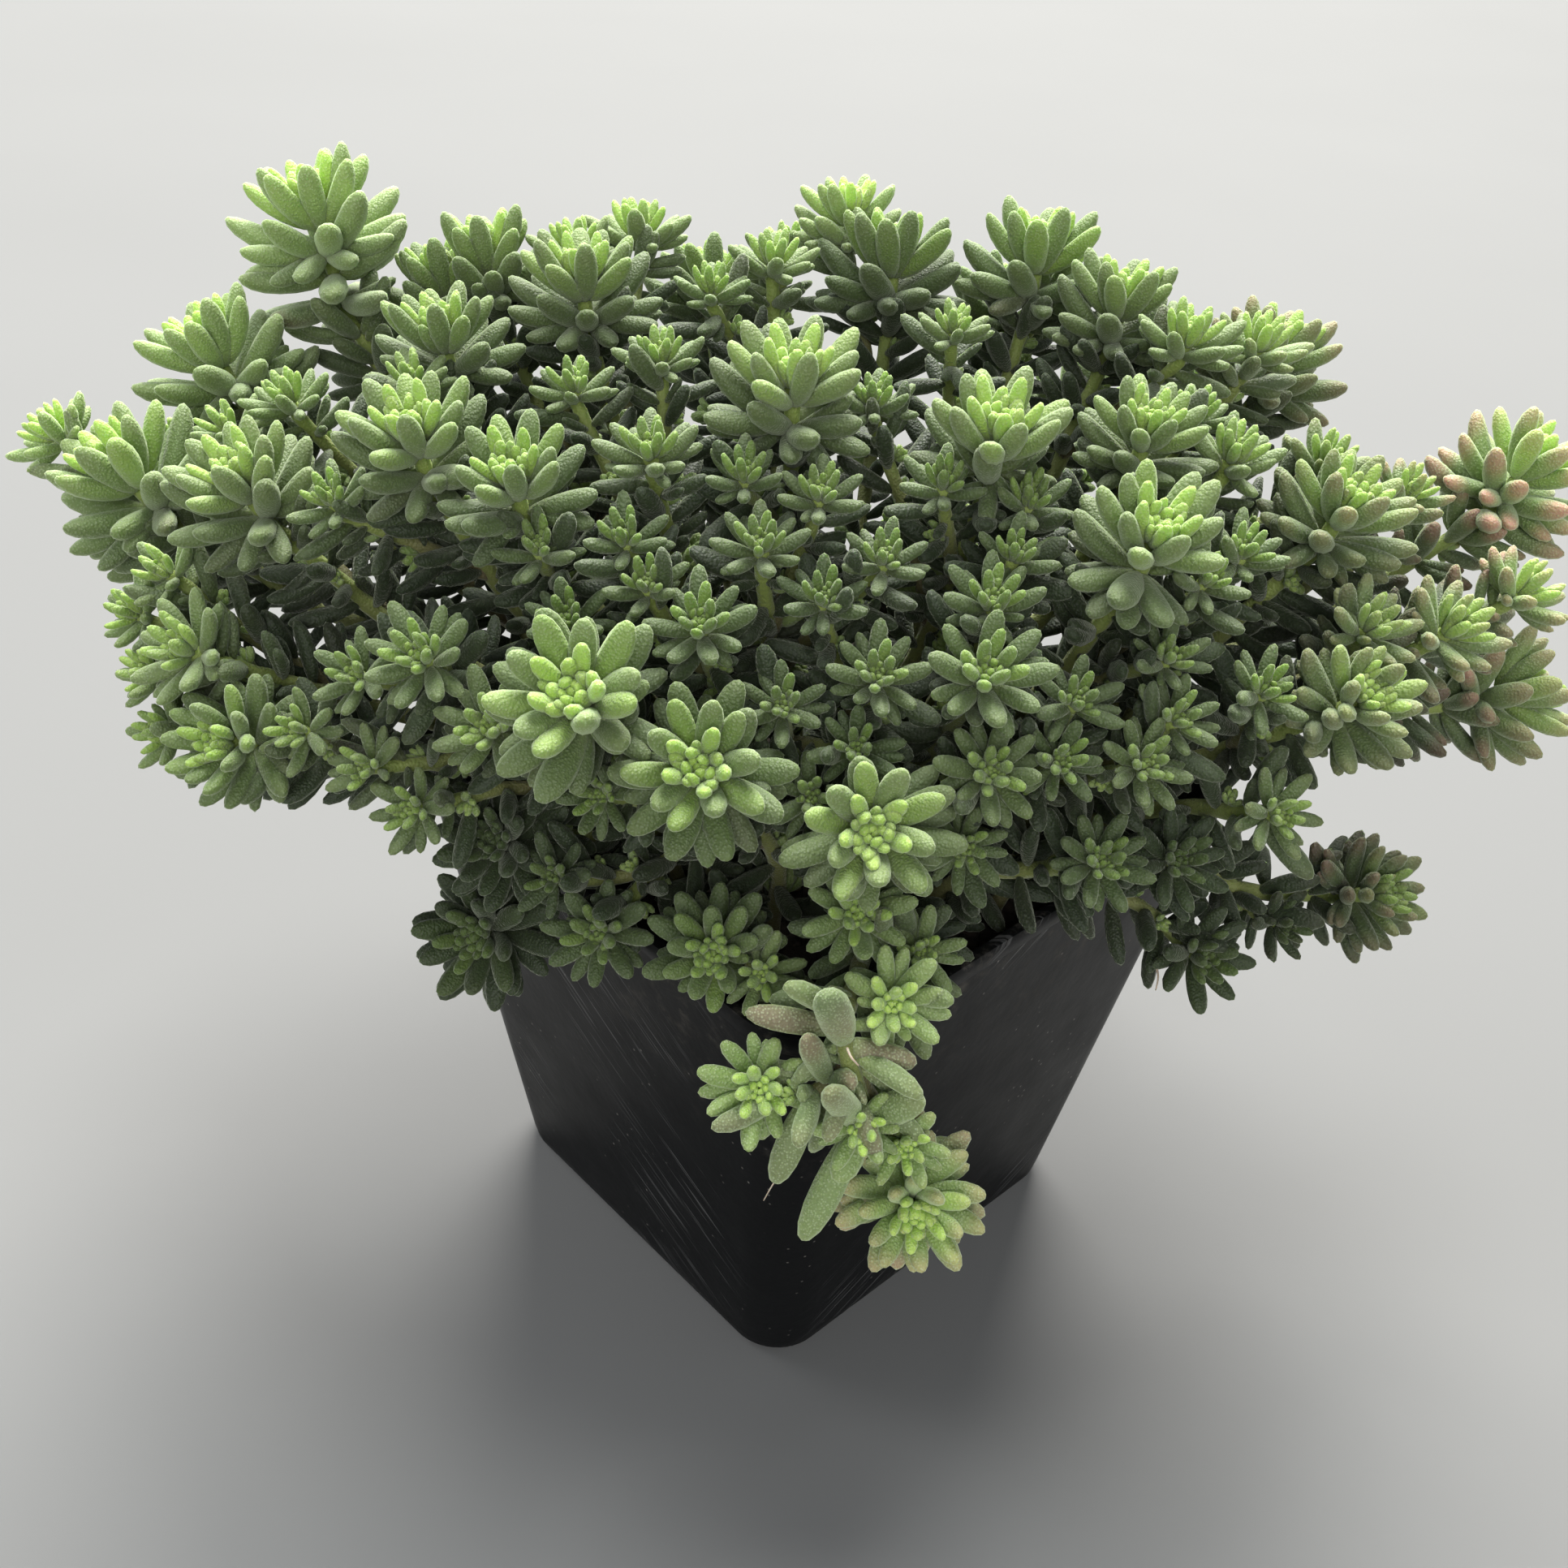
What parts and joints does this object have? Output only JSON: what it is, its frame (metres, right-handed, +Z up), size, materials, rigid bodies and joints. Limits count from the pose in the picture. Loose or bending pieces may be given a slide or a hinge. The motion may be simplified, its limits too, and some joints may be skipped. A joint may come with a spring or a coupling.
{
  "type": "potted sedum",
  "caption": "Bushy clump of fleshy-leaved sedum that grows over the rim of a small square black nursery pot and stands on the pot's flat base.",
  "frame": {"origin": "centre of the pot's flat underside, on the ground", "axes": "+Z up along the pot's axis, +X and +Y along the pot's sides; the pot's corner at +X, -Y faces the viewer"},
  "size_m": [0.124, 0.1306, 0.1062],
  "materials": {
    "pot_black": "thin black plastic, semi-matte, dusty and scuffed near the rim",
    "soil_dark": "dark crumbly potting soil with a little grit",
    "leaf_green": "fleshy velvety leaves, yellow-green in the buds and blue-green when old, on yellow-green stems"
  },
  "bodies": {
    "root": {"pot": "pot_black", "soil": "soil_dark", "stem_back_1": "leaf_green", "stem_back_2": "leaf_green", "stem_back_3": "leaf_green", "stem_back_4": "leaf_green", "stem_back_5": "leaf_green", "stem_back_6": "leaf_green", "stem_back_7": "leaf_green", "stem_back_8": "leaf_green", "stem_back_9": "leaf_green", "stem_front_1": "leaf_green", "stem_front_2": "leaf_green", "stem_front_3": "leaf_green", "stem_front_4": "leaf_green", "stem_front_5": "leaf_green", "stem_front_6": "leaf_green", "stem_front_7": "leaf_green", "stem_front_8": "leaf_green", "stem_left_1": "leaf_green", "stem_left_2": "leaf_green", "stem_left_3": "leaf_green", "stem_left_4": "leaf_green", "stem_left_5": "leaf_green", "stem_left_6": "leaf_green", "stem_left_7": "leaf_green", "stem_middle_1": "leaf_green", "stem_middle_10": "leaf_green", "stem_middle_11": "leaf_green", "stem_middle_12": "leaf_green", "stem_middle_13": "leaf_green", "stem_middle_14": "leaf_green", "stem_middle_15": "leaf_green", "stem_middle_16": "leaf_green", "stem_middle_2": "leaf_green", "stem_middle_3": "leaf_green", "stem_middle_4": "leaf_green", "stem_middle_5": "leaf_green", "stem_middle_6": "leaf_green", "stem_middle_7": "leaf_green", "stem_middle_8": "leaf_green", "stem_middle_9": "leaf_green", "stem_rear_1": "leaf_green", "stem_rear_2": "leaf_green", "stem_rear_3": "leaf_green", "stem_rear_4": "leaf_green", "stem_rear_5": "leaf_green", "stem_rear_6": "leaf_green", "stem_rear_7": "leaf_green", "stem_rear_8": "leaf_green", "stem_right_1": "leaf_green", "stem_right_2": "leaf_green", "stem_right_3": "leaf_green", "stem_right_4": "leaf_green", "stem_right_5": "leaf_green", "stem_right_6": "leaf_green", "stem_right_7": "leaf_green", "stem_right_8": "leaf_green"}
  },
  "joints": []
}
